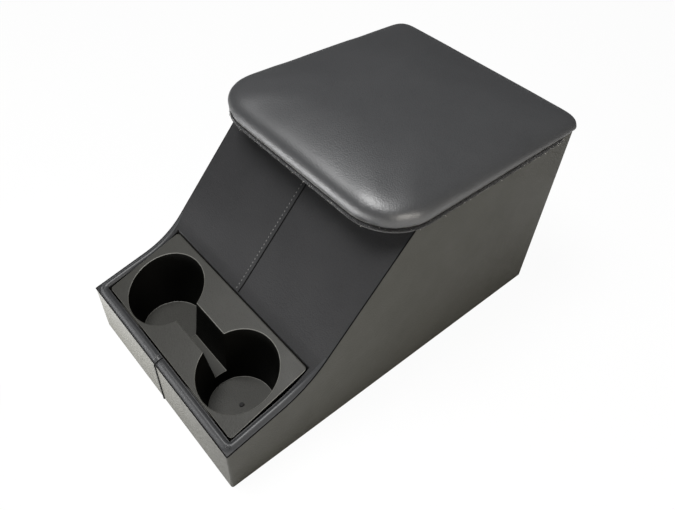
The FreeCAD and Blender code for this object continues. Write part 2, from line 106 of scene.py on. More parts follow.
def new_group(name: str, inputs: dict[str, float], outputs: list[str]) -> bpy.types.NodeTree:
    """Make a shader node group with float inputs and outputs.

    Args:
        name: Name of the group.
        inputs: Input names with their usual values.
        outputs: Output names.

    Returns:
        The new node tree, with its input and output nodes placed.
    """
    tree = bpy.data.node_groups.new(name, "ShaderNodeTree")
    for label, usual in inputs.items():
        socket = tree.interface.new_socket(name=label, in_out="INPUT", socket_type="NodeSocketFloat")
        socket.default_value = usual
    for label in outputs:
        tree.interface.new_socket(name=label, in_out="OUTPUT", socket_type="NodeSocketFloat")
    tree.nodes.new("NodeGroupInput").name = "In"
    tree.nodes.new("NodeGroupOutput").name = "Out"
    return tree


class Weave:
    """Small helper that adds and joins nodes in one tree."""

    def __init__(self, tree: bpy.types.NodeTree) -> None:
        """Keep the tree that nodes go into."""
        self.tree = tree

    def add(self, kind: str, **values: object) -> bpy.types.Node:
        """Add a node and set its attributes and sockets.

        Args:
            kind: Node type without its ShaderNode prefix.
            values: Attributes of the node, or input sockets by name with _ for a space.

        Returns:
            The new node.
        """
        node = self.tree.nodes.new(f"ShaderNode{kind}")
        for key, item in values.items():
            socket = key.replace("_", " ")
            if hasattr(node, key):
                setattr(node, key, item)
            elif isinstance(item, bpy.types.NodeSocket):
                self.tree.links.new(item, node.inputs[socket])
            else:
                node.inputs[socket].default_value = item
        return node

    def maths(self, operation: str, first: object, second: object) -> bpy.types.NodeSocket:
        """Join two values or sockets with a Math node and return its result."""
        node = self.tree.nodes.new("ShaderNodeMath")
        node.operation = operation
        for socket, item in zip(node.inputs, (first, second)):
            if isinstance(item, bpy.types.NodeSocket):
                self.tree.links.new(item, socket)
            else:
                socket.default_value = item
        return node.outputs[0]


def grain_group() -> bpy.types.NodeTree:
    """Pebbled grain: a fine cell pattern with broken valleys, for vinyl and moulded plastic."""
    tree = new_group("pebble_grain", {"Cells per metre": 700.0, "Valley": 0.5}, ["Height"])
    weave = Weave(tree)
    given = tree.nodes["In"].outputs
    place = weave.add("TexCoord").outputs["Object"]
    warp = weave.add("TexNoise", Vector=place, Scale=WARP_SCALE, Detail=2.0).outputs["Fac"]
    bent = weave.add("VectorMath", operation="MULTIPLY_ADD")
    tree.links.new(weave.add("CombineXYZ", X=warp, Y=warp, Z=warp).outputs[0], bent.inputs[0])
    bent.inputs[1].default_value = (WARP_REACH, WARP_REACH, WARP_REACH)
    tree.links.new(place, bent.inputs[2])
    cells = weave.add("TexVoronoi", feature="F1", Vector=bent.outputs[0], Scale=given[0]).outputs["Distance"]
    domed = weave.maths("SUBTRACT", 1.0, weave.maths("MULTIPLY", cells, given[1]))
    speck = weave.add("TexNoise", Vector=place, Scale=SPECK_SCALE, Detail=2.0).outputs["Fac"]
    total = weave.maths("ADD", domed, weave.maths("MULTIPLY", speck, SPECK_SHARE))
    tree.links.new(total, tree.nodes["Out"].inputs["Height"])
    return tree


def mottle_group() -> bpy.types.NodeTree:
    """Slow cloudy change over a surface, as handled and stretched sheet shows."""
    tree = new_group("slow_mottle", {"Scale": 14.0, "Low": 0.0, "High": 1.0}, ["Value"])
    weave = Weave(tree)
    given = tree.nodes["In"].outputs
    place = weave.add("TexCoord").outputs["Object"]
    cloud = weave.add("TexNoise", Vector=place, Scale=given[0], Detail=5.0, Roughness=0.6).outputs["Fac"]
    spread = weave.add("MapRange", Value=cloud, To_Min=given[1], To_Max=given[2])
    spread.inputs["From Min"].default_value, spread.inputs["From Max"].default_value = CLOUD_RANGE
    tree.links.new(spread.outputs[0], tree.nodes["Out"].inputs["Value"])
    return tree


@dataclass(frozen=True)
class Finish:
    """A grained surface finish, made into a material once.

    Attributes:
        name: Name of the material.
        dark: Colour of its darker clouds and valleys.
        pale: Colour of its paler ones.
        rough: Lowest and highest roughness.
        cells: Grain cells in a metre.
        valley: How deep the grain's valleys are.
        relief: Strength of the grain's bump.
        depth: Height of the grain in metres.
        mottle: Scale of the slow clouds.
        specular: Strength of plain reflections.
        sheen: Strength of the fibres' sheen.
        metallic: 1 for bare metal.
        speck: How far the grain changes the colour.
        wall: Factor on the colour and reflection of steep faces, a painted shade, taken before that of edges.
        edge: Factor on the colour and reflection of faces between steep and level, a painted highlight on
            rounded edges.
    """

    name: str
    dark: Colour
    pale: Colour
    rough: tuple[float, float]
    cells: float = 700.0
    valley: float = 0.5
    relief: float = 0.25
    depth: float = 0.0002
    mottle: float = 14.0
    specular: float = 0.5
    sheen: float = 0.0
    metallic: float = 0.0
    speck: float = 1.5
    wall: float = 1.0
    edge: float = 1.0

    def material(self, groups: dict[str, bpy.types.NodeTree]) -> bpy.types.Material:
        """Build the finish's material.

        Args:
            groups: The shared node groups by name.

        Returns:
            A material with mottled colour and roughness and a grain bump.
        """
        made = bpy.data.materials.new(self.name)
        made.use_nodes = True
        tree = made.node_tree
        tree.nodes.clear()
        weave = Weave(tree)
        shader = weave.add("BsdfPrincipled")
        cloud = weave.add("Group", node_tree=groups["mottle"])
        cloud.inputs["Scale"].default_value = self.mottle
        colour = weave.add("Mix", data_type="RGBA")
        colour.inputs[6].default_value = (*self.dark, 1.0)
        colour.inputs[7].default_value = (*self.pale, 1.0)
        # Painted light: steep faces are darkened as painted shade and rounded edges paled as a painted
        # highlight, in colour and reflection alike.
        upright = weave.add("SeparateXYZ", Vector=weave.add("NewGeometry").outputs["Normal"]).outputs["Z"]
        level = weave.maths("ABSOLUTE", upright, 0.0)
        shade = weave.add("MapRange", Value=level, To_Min=self.wall, To_Max=1.0)
        shade.inputs["From Min"].default_value, shade.inputs["From Max"].default_value = WALL_PAINTED_SHADE_RANGE
        rim = weave.add("MapRange", Value=level, To_Min=self.edge, To_Max=1.0)
        rim.inputs["From Min"].default_value, rim.inputs["From Max"].default_value = EDGE_PAINTED_HIGHLIGHT_RANGE
        tone = weave.maths("MULTIPLY", shade.outputs[0], rim.outputs[0])
        shade_and_highlight_painted_colour = weave.add("VectorMath", operation="SCALE", Scale=tone)
        tree.links.new(colour.outputs[2], shade_and_highlight_painted_colour.inputs[0])
        tree.links.new(shade_and_highlight_painted_colour.outputs[0], shader.inputs["Base Color"])
        shine = weave.maths("MULTIPLY", tone, self.specular)
        tree.links.new(shine, shader.inputs["Specular IOR Level"])
        rough = weave.add("Group", node_tree=groups["mottle"])
        rough.inputs["Scale"].default_value = self.mottle * ROUGH_MOTTLE
        rough.inputs["Low"].default_value, rough.inputs["High"].default_value = self.rough
        tree.links.new(rough.outputs[0], shader.inputs["Roughness"])
        grain = weave.add("Group", node_tree=groups["grain"])
        grain.inputs["Cells per metre"].default_value = self.cells
        grain.inputs["Valley"].default_value = self.valley
        speck = weave.maths("MULTIPLY", weave.maths("SUBTRACT", grain.outputs[0], GRAIN_MEAN), self.speck)
        tree.links.new(weave.maths("ADD", cloud.outputs[0], speck), colour.inputs[0])
        bump = weave.add("Bump", Strength=self.relief, Distance=self.depth, Height=grain.outputs[0])
        tree.links.new(bump.outputs[0], shader.inputs["Normal"])
        shader.inputs["Metallic"].default_value = self.metallic
        shader.inputs["Sheen Weight"].default_value = self.sheen
        out = weave.add("OutputMaterial")
        tree.links.new(shader.outputs[0], out.inputs["Surface"])
        return made


SIDE_VINYL = Finish(
    "side_vinyl", dark=(0.030, 0.029, 0.022), pale=(0.036, 0.035, 0.027), rough=(0.46, 0.52),
    cells=620.0, valley=0.8, relief=0.5, depth=0.0004, specular=0.32)
# The slope's vinyl is a darker copy of the box's vinyl: painted shade for the dimly lit slope.
SLOPE_VINYL_PAINTED_SHADE = Finish(
    "slope_vinyl_painted_shade", dark=(0.012, 0.012, 0.013), pale=(0.016, 0.016, 0.017), rough=(0.5, 0.55),
    cells=620.0, valley=0.8, relief=0.5, depth=0.0003, specular=0.4)
LID_VINYL = Finish(
    "lid_vinyl", dark=(0.035, 0.036, 0.038), pale=(0.041, 0.042, 0.044), rough=(0.42, 0.47),
    cells=700.0, valley=0.9, relief=0.5, depth=0.0003, specular=1.0, speck=2.5)
# The tray's wall and edge values paint shade into its cup walls and a highlight onto its rounded edges.
TRAY_PLASTIC = Finish(
    "tray_plastic", dark=(0.024, 0.0235, 0.020), pale=(0.032, 0.0315, 0.027), rough=(0.5, 0.58),
    cells=1000.0, valley=0.9, relief=0.5, depth=0.0003, specular=0.38, speck=3.0, wall=0.03, edge=4.0)
CARPET = Finish(
    "carpet", dark=(0.012, 0.012, 0.013), pale=(0.022, 0.022, 0.023), rough=(0.9, 1.0),
    cells=900.0, valley=1.0, relief=1.0, depth=0.001, mottle=60.0, specular=0.2, sheen=0.3)
BARE_BOARD = Finish(
    "stained_board", dark=(0.018, 0.014, 0.011), pale=(0.032, 0.026, 0.020), rough=(0.7, 0.85),
    cells=500.0, valley=0.6, relief=0.5, depth=0.0003, mottle=40.0)
FOAM = Finish(
    "foam", dark=(0.45, 0.43, 0.36), pale=(0.55, 0.52, 0.44), rough=(0.9, 1.0),
    cells=500.0, valley=1.0, relief=0.8, depth=0.0006, mottle=50.0)
PLATED_STEEL = Finish(
    "plated_steel", dark=(0.42, 0.42, 0.43), pale=(0.52, 0.52, 0.53), rough=(0.28, 0.4),
    cells=1500.0, valley=0.4, relief=0.1, depth=0.0001, mottle=60.0, metallic=1.0)
BLACK_SCREW = Finish(
    "black_screw", dark=(0.006, 0.006, 0.006), pale=(0.01, 0.01, 0.01), rough=(0.6, 0.7),
    cells=1500.0, valley=0.4, relief=0.1, specular=0.3)
# The hem is the lid's vinyl made paler: a painted highlight along the lid's lower edge.
HEM_VINYL_PAINTED_HIGHLIGHT = Finish(
    "hem_vinyl_painted_highlight", dark=(0.06, 0.06, 0.056), pale=(0.085, 0.085, 0.08), rough=(0.4, 0.5),
    cells=760.0, valley=0.6, relief=0.1)
# Near-black cord that follows the real seams: its colour is painted shade of the seams' valleys.
SEAM_PAINTED_SHADE = Finish(
    "seam_painted_shade", dark=(0.002, 0.002, 0.002), pale=(0.004, 0.004, 0.004), rough=(0.8, 0.9),
    cells=900.0, valley=0.6, relief=0.2, specular=0.1)
RIM_VINYL = Finish(
    "rim_vinyl", dark=(0.028, 0.029, 0.031), pale=(0.033, 0.034, 0.036), rough=(0.42, 0.47),
    cells=700.0, valley=0.8, relief=0.15, depth=0.0003)
THREAD = Finish(
    "thread", dark=(0.10, 0.10, 0.10), pale=(0.16, 0.16, 0.155), rough=(0.6, 0.7),
    cells=2500.0, valley=1.0, relief=0.6)
FIBRE = Finish(
    "fibre", dark=(0.35, 0.34, 0.32), pale=(0.55, 0.54, 0.50), rough=(0.6, 0.8),
    cells=900.0, valley=0.5, relief=0.1)

NODE_FINISHES: dict[str, Finish] = {
    "left_band_cover": SIDE_VINYL, "right_band_cover": SIDE_VINYL, "rear_cover": SIDE_VINYL,
    "left_top_cover": SLOPE_VINYL_PAINTED_SHADE, "right_top_cover": SLOPE_VINYL_PAINTED_SHADE,
    "cup_holder_tray": TRAY_PLASTIC,
    "base_board": BARE_BOARD, "left_side_board": BARE_BOARD, "right_side_board": BARE_BOARD,
    "front_board": BARE_BOARD, "rear_board": BARE_BOARD, "slope_panel": BARE_BOARD,
    "cup_bay_divider": BARE_BOARD, "lid_board": BARE_BOARD,
    "floor_carpet": CARPET, "left_carpet": CARPET, "right_carpet": CARPET, "front_carpet": CARPET,
    "rear_carpet": CARPET, "lid_carpet": CARPET,
    "lid_foam": FOAM, "lid_cover": LID_VINYL,
    "hinge_box_leaf": PLATED_STEEL, "hinge_lid_leaf": PLATED_STEEL, "hinge_pin": PLATED_STEEL,
    "tray_screws": BLACK_SCREW, "hinge_box_screws": BLACK_SCREW, "hinge_lid_screws": BLACK_SCREW,
}


class Paints:
    """Materials of every finish, each built when first asked for."""

    def __init__(self) -> None:
        """Build the shared groups."""
        self.groups = {"grain": grain_group(), "mottle": mottle_group()}
        self.made: dict[str, bpy.types.Material] = {}

    def get(self, finish: Finish) -> bpy.types.Material:
        """Return the material of a finish."""
        if finish.name not in self.made:
            self.made[finish.name] = finish.material(self.groups)
        return self.made[finish.name]


def piece_from(bm: bmesh.types.BMesh, name: str, material: bpy.types.Material) -> bpy.types.Object:
    """Turn a bmesh into a smooth shaded object at the origin.

    Args:
        bm: The finished bmesh, in metres in the shared frame, freed here.
        name: Name of the piece.
        material: Its material.

    Returns:
        The linked object.
    """
    mesh = bpy.data.meshes.new(name)
    bm.to_mesh(mesh)
    bm.free()
    for face in mesh.polygons:
        face.use_smooth = True
    mesh.materials.append(material)
    thing = bpy.data.objects.new(name, mesh)
    bpy.context.scene.collection.objects.link(thing)
    return thing


def sweep(
    bm: bmesh.types.BMesh, path: list[Vector], radius: float, closed: bool = False, sides: int = 6,
) -> None:
    """Sweep a round section along a path by extruding one ring of edges.

    Args:
        bm: The bmesh that takes the tube.
        path: Centre points of the tube.
        radius: Radius of its section.
        closed: Whether the last point joins the first.
        sides: Edges in the section.
    """
    ring = bmesh.ops.create_circle(bm, cap_ends=False, radius=radius, segments=sides)["verts"]
    count = len(path)
    ways = []
    for index in range(count):
        before = path[index - 1] if index or closed else path[0]
        after = path[(index + 1) % count] if closed or index + 1 < count else path[-1]
        ways.append((after - before).normalized())
    turn = UP.rotation_difference(ways[0]).to_matrix().to_4x4()
    bmesh.ops.transform(bm, matrix=Matrix.Translation(path[0]) @ turn, verts=ring)
    edges = list({edge for vert in ring for edge in vert.link_edges})
    first, skin = edges, []
    for index in range(1, count):
        grown = bmesh.ops.extrude_edge_only(bm, edges=edges)["geom"]
        verts = [item for item in grown if isinstance(item, bmesh.types.BMVert)]
        skin += [item for item in grown if isinstance(item, bmesh.types.BMFace)]
        edges = [item for item in grown if isinstance(item, bmesh.types.BMEdge)]
        edges = [edge for edge in edges if all(vert in verts for vert in edge.verts)]
        step = ways[index - 1].rotation_difference(ways[index]).to_matrix().to_4x4()
        move = Matrix.Translation(path[index]) @ step @ Matrix.Translation(-path[index - 1])
        bmesh.ops.transform(bm, matrix=move, verts=verts)
    if closed:
        skin += bmesh.ops.bridge_loops(bm, edges=first + edges)["faces"]
    else:
        for loop in (first, edges):
            skin += bmesh.ops.contextual_create(bm, geom=loop)["faces"]
    bmesh.ops.recalc_face_normals(bm, faces=skin)


@dataclass
class Outline:
    """Rounded plan outline of the lid or of its carpet."""

    low: Vector
    high: Vector
    front_corner: float
    rear_corner: float

    def points(self, height: float, grow: float = 0.0, step: float = 2 * MM) -> list[tuple[Vector, Vector]]:
        """Walk round the outline.

        Args:
            height: Height of every point.
            grow: How far outside the outline the walk goes.
            step: Distance between points on the straights.

        Returns:
            Pairs of a point and the direction straight out of the outline there.
        """
        pairs: list[tuple[Vector, Vector]] = []
        corners = (
            (self.high.x, self.low.y, self.front_corner, -90),
            (self.high.x, self.high.y, self.rear_corner, 0),
            (self.low.x, self.high.y, self.rear_corner, 90),
            (self.low.x, self.low.y, self.front_corner, 180))
        for edge_x, edge_y, radius, start in corners:
            inward = radius if edge_y == self.low.y else -radius
            centre = Vector((edge_x - math.copysign(radius, edge_x), edge_y + inward, height))
            turns = max(4, int(math.pi / 2 * radius / step))
            for index in range(turns + 1):
                angle = math.radians(start + 90 * index / turns)
                out = Vector((math.cos(angle), math.sin(angle), 0))
                point = centre + out * (radius + grow)
                if pairs and index == 0:
                    last, way = pairs[-1]
                    parts = int((point - last).length / step)
                    pairs += [(last.lerp(point, part / parts), way) for part in range(1, parts)]
                pairs.append((point, out))
        last, first = pairs[-1], pairs[0]
        parts = int((first[0] - last[0]).length / step)
        pairs += [(last[0].lerp(first[0], part / parts), last[1]) for part in range(1, parts)]
        return pairs


@dataclass
class Covers:
    """Rigid and stretched pieces that keep their solids: they get finishes and soft edges."""

    edge_round: float = 0.9 * MM
    tray_round: float = 1.0 * MM
    merge: float = 0.01 * MM
    flat: float = math.radians(0.5)
    sharp: float = math.radians(40)
    segments: int = 3
    soft_nodes: tuple[str, ...] = (
        "left_band_cover", "right_band_cover", "left_top_cover", "right_top_cover")

    def dress(self, frame: dict, paints: Paints) -> None:
        """Give every node its material, and round the edges of covers and tray.

        Args:
            frame: The loaded frame.
            paints: The scene's materials.
        """
        for name, thing in frame["nodes"].items():
            thing.data.materials.clear()
            thing.data.materials.append(paints.get(NODE_FINISHES[name]))
        for name in self.soft_nodes:
            self.soften(frame["nodes"][name], self.edge_round, True)
        self.soften(frame["nodes"]["cup_holder_tray"], self.tray_round, False)

    def soften(self, thing: bpy.types.Object, width: float, clamp: bool) -> None:
        """Round a node's sharp edges with modifiers, leaving its own mesh alone.

        Args:
            thing: The node's object.
            width: Width of the rounding.
            clamp: Whether narrow facets may limit that width.
        """
        weld = thing.modifiers.new("join", "WELD")
        weld.merge_threshold = self.merge
        plain = thing.modifiers.new("plain_faces", "DECIMATE")
        plain.decimate_type = "DISSOLVE"
        plain.angle_limit = self.flat
        bevel = thing.modifiers.new("soft_edges", "BEVEL")
        bevel.width = width
        bevel.segments = self.segments
        bevel.limit_method = "ANGLE"
        bevel.angle_limit = self.sharp
        bevel.use_clamp_overlap = clamp
        even = thing.modifiers.new("even_shading", "WEIGHTED_NORMAL")
        even.weight = 100


@dataclass
class Profile:
    """Side profile of the covered box, from its front face back."""

    front: float
    rim_height: float = 65 * MM
    rim_angle: float = math.radians(13.5)
    slope_angle: float = math.radians(48.5)
    knee: float = 94.5 * MM
    knee_radius: float = 100 * MM

    def at(self, along: float) -> tuple[Vector, float]:
        """Point and lean of the covered surface at a distance back from the front.

        Args:
            along: Distance back from the front face.

        Returns:
            The point on the centre line and the surface's angle there.
        """
        reach = self.knee_radius * math.tan((self.slope_angle - self.rim_angle) / 2)
        start = self.knee - reach * math.cos(self.rim_angle)
        end = self.knee + reach * math.cos(self.slope_angle)
        knee_height = self.rim_height + self.knee * math.tan(self.rim_angle)
        if along <= start:
            height, lean = self.rim_height + along * math.tan(self.rim_angle), self.rim_angle
        elif along >= end:
            height, lean = knee_height + (along - self.knee) * math.tan(self.slope_angle), self.slope_angle
        else:
            centre = start - self.knee_radius * math.sin(self.rim_angle)
            level = self.rim_height + start * math.tan(self.rim_angle)
            level = level + self.knee_radius * math.cos(self.rim_angle)
            lean = math.asin((along - centre) / self.knee_radius)
            height = level - self.knee_radius * math.cos(lean)
        return Vector((0.0, self.front + along, height)), lean


@dataclass
class LidPad:
    """Padded lid: a rounded wedge swollen by pressure inside its vinyl, flat below."""

    low: Vector
    high: Vector
    front_corner: float = 46 * MM
    rear_corner: float = 13 * MM
    rear_depth: float = 14 * MM
    top_roll: float = 10 * MM
    under_roll: float = 6 * MM
    corner_segments: tuple[int, int] = (9, 6)
    roll_segments: tuple[int, int] = (6, 3)
    upright: float = 0.99
    level: float = 0.9
    spread: float = 1.3 * MM
    slack: float = 6 * MM
    smoothing: int = 26
    still_below: float = 1.5 * MM
    full_below: float = 26 * MM
    fuller: float = 3.0 * MM
    held_share: float = 0.3
    freed_over: float = 0.6
    voxel: float = 4.5 * MM
    cap: float = 9 * MM
    pressure: float = 4.0
    bending: float = 2.0
    frames: int = 20

    def form(self) -> bmesh.types.BMesh:
        """Cut the wedge: corners, top roll and under roll are bevels of one block.

        Returns:
            The wedge before it swells.
        """
        bm = bmesh.new()
        size = self.high - self.low + Vector((2, 2, 0)) * self.spread
        bmesh.ops.create_cube(bm, size=1.0)
        bmesh.ops.scale(bm, vec=size, verts=bm.verts)
        bmesh.ops.translate(bm, vec=(self.low + self.high) / 2, verts=bm.verts)
        middle = (self.low.y + self.high.y) / 2
        for vert in bm.verts:
            if vert.co.z > self.low.z + size.z / 2:
                vert.co.z = self.high.z - self.slack if vert.co.y < middle else self.low.z + self.rear_depth
        front_count, rear_count = self.corner_segments
        corners = ((True, self.front_corner, front_count), (False, self.rear_corner, rear_count))
        for at_front, radius, count in corners:
            upright = [edge for edge in bm.edges
                       if abs((edge.verts[0].co - edge.verts[1].co).normalized().z) > self.upright
                       and (edge.verts[0].co.y < middle) == at_front]
            self.bevel(bm, upright, radius, count)
        top_count, under_count = self.roll_segments
        for way, radius, count in ((1, self.top_roll, top_count), (-1, self.under_roll, under_count)):
            faces = [face for face in bm.faces if face.normal.z * way > self.level]
            loop = list({edge for face in faces for edge in face.edges})
            self.bevel(bm, loop, radius, count)
        return bm

    def bevel(
        self, bm: bmesh.types.BMesh, edges: list[bmesh.types.BMEdge], radius: float, count: int,
    ) -> None:
        """Round some edges of the block."""
        bmesh.ops.bevel(bm, geom=edges, offset=radius, offset_type="OFFSET", segments=count, profile=0.5,
                        affect="EDGES", material=-1, clamp_overlap=True)
        bm.normal_update()

    def swell(self, thing: bpy.types.Object) -> None:
        """Blow the pad up a little with cloth pressure, its lower edge held.

        Args:
            thing: The remeshed pad, whose mesh is changed in place.
        """
        held = thing.vertex_groups.new(name="held")
        for vert in thing.data.vertices:
            back = (vert.co.y - self.low.y) / (self.high.y - self.low.y)
            depth = (self.high.z - self.slack - self.low.z) * (1 - back) + self.rear_depth * back
            above = ((vert.co.z - self.low.z) / depth - self.held_share) / self.freed_over
            held.add([vert.index], min(1.0, max(0.0, 1.0 - above)), "REPLACE")
        before = [vert.co.copy() for vert in thing.data.vertices]
        cloth = thing.modifiers.new("swell", "CLOTH")
        cloth.settings.use_pressure = True
        cloth.settings.uniform_pressure_force = self.pressure
        cloth.settings.vertex_group_mass = held.name
        cloth.settings.bending_stiffness = self.bending
        cloth.settings.effector_weights.gravity = 0.0
        scene = bpy.context.scene
        for step in range(1, self.frames + 1):
            scene.frame_set(step)
        swollen = bpy.data.meshes.new_from_object(thing.evaluated_get(bpy.context.evaluated_depsgraph_get()))
        after = [vert.co.copy() for vert in swollen.vertices]
        thing.modifiers.remove(cloth)
        bpy.data.meshes.remove(swollen)
        scene.frame_set(1)
        for vert, old, new in zip(thing.data.vertices, before, after):
            move = new - old
            if move.length > 0.0:
                move *= self.cap * math.tanh(move.length / self.cap) / move.length
            vert.co = old + move
        most = max((new - old).length for old, new in zip(before, after))
        LOG.info("pad swells up to %.1f mm before the cap", most / MM)

    def build(self, paints: Paints) -> bpy.types.Object:
        """Make the pad and put it in the place of the lid's cover, foam and board.

        Args:
            paints: The scene's materials.

        Returns:
            The finished pad.
        """
        block = piece_from(self.form(), "lid_pad_block", paints.get(LID_VINYL))
        remesh = block.modifiers.new("even", "REMESH")
        remesh.mode = "VOXEL"
        remesh.voxel_size = self.voxel
        mesh = bpy.data.meshes.new_from_object(block.evaluated_get(bpy.context.evaluated_depsgraph_get()))
        bpy.data.objects.remove(block)
        mesh.name = "lid_pad"
        for face in mesh.polygons:
            face.use_smooth = True
        mesh.materials.clear()
        mesh.materials.append(paints.get(LID_VINYL))
        thing = bpy.data.objects.new("lid_pad", mesh)
        bpy.context.scene.collection.objects.link(thing)
        self.swell(thing)
        self.settle(mesh)
        smooth = thing.modifiers.new("smooth", "SUBSURF")
        smooth.levels = smooth.render_levels = 1
        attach(thing, Body.LID.value)
        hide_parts("lid_cover", "lid_foam", "lid_board")
        return thing

    def settle(self, mesh: bpy.types.Mesh) -> None:
        """Even out the voxel steps and keep the underside flat."""
        bm = bmesh.new()
        bm.from_mesh(mesh)
        free = [vert for vert in bm.verts if vert.co.z > self.low.z + self.still_below]
        for _ in range(self.smoothing):
            bmesh.ops.smooth_vert(
                bm, verts=free, factor=0.5, use_axis_x=True, use_axis_y=True, use_axis_z=True)
        bm.normal_update()
        for vert in bm.verts:
            share = max(0.0, 1.0 - (vert.co.z - self.low.z) / self.full_below)
            out = Vector((vert.normal.x, vert.normal.y, 0.0))
            vert.co += out * self.fuller * share
            vert.co.z = max(vert.co.z, self.low.z)
        bm.to_mesh(mesh)
        bm.free()


@dataclass
class CarpetFringe:
    """Felted cut edge of the lid's carpet, with loose fibres."""

    outline: Outline
    height: float
    grow: float = 5.4 * MM
    core: float = 2.5 * MM
    spacing: float = 0.7 * MM
    reach: tuple[float, float] = (1.2 * MM, 3.4 * MM)
    thick: float = 0.3 * MM
    tip: float = 0.5
    rooted: float = 0.3
    stray: float = 0.6
    lift: tuple[float, float] = (0.1, 0.5)
    pale_share: float = 0.2
    seed: int = 7

    def build(self, paints: Paints) -> list[bpy.types.Object]:
        """Roll the felted edge and grow a thin three sided fibre at each point, leaning at random.

        Args:
            paints: The scene's materials.

        Returns:
            The felted edge and its fibres.
        """
        chance = random.Random(self.seed)
        bm = bmesh.new()
        sweep(bm, [point for point, _ in self.outline.points(self.height, self.grow)], self.core, closed=True)
        edge = piece_from(bm, "carpet_edge", paints.get(CARPET))
        bm = bmesh.new()
        for point, out in self.outline.points(self.height, self.grow, self.spacing):
            length = chance.uniform(*self.reach)
            lean = Vector((
                chance.gauss(0, self.stray), chance.gauss(0, self.stray), chance.gauss(*self.lift)))
            way = (out + lean).normalized()
            made = bmesh.ops.create_cone(bm, cap_ends=True, segments=3, radius1=self.thick,
                                         radius2=self.thick * self.tip, depth=length)
            turn = UP.rotation_difference(way).to_matrix().to_4x4()
            place = Matrix.Translation(point + way * (length / 2 + self.core * self.rooted)) @ turn
            bmesh.ops.transform(bm, matrix=place, verts=made["verts"])
            tone = int(chance.random() < self.pale_share)
            for face in {face for vert in made["verts"] for face in vert.link_faces}:
                face.material_index = tone
        fringe = piece_from(bm, "carpet_fringe", paints.get(CARPET))
        fringe.data.materials.append(paints.get(FIBRE))
        for thing in (edge, fringe):
            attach(thing, Body.LID.value)
        return [edge, fringe]


@dataclass
class LidHem:
    """Rolled hem of the lid's vinyl, a thin bead round the lower edge, painted paler as a highlight."""

    outline: Outline
    height: float
    grow: float = -1.0 * MM
    radius: float = 1.1 * MM
    sides: int = 8

    def build(self, paints: Paints) -> bpy.types.Object:
        """Sweep the bead round the lid.

        Args:
            paints: The scene's materials.

        Returns:
            The bead.
        """
        bm = bmesh.new()
        path = [point for point, _ in self.outline.points(self.height, self.grow)]
        sweep(bm, path, self.radius, True, self.sides)
        thing = piece_from(bm, "lid_hem", paints.get(HEM_VINYL_PAINTED_HIGHLIGHT))
        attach(thing, Body.LID.value)
        return thing


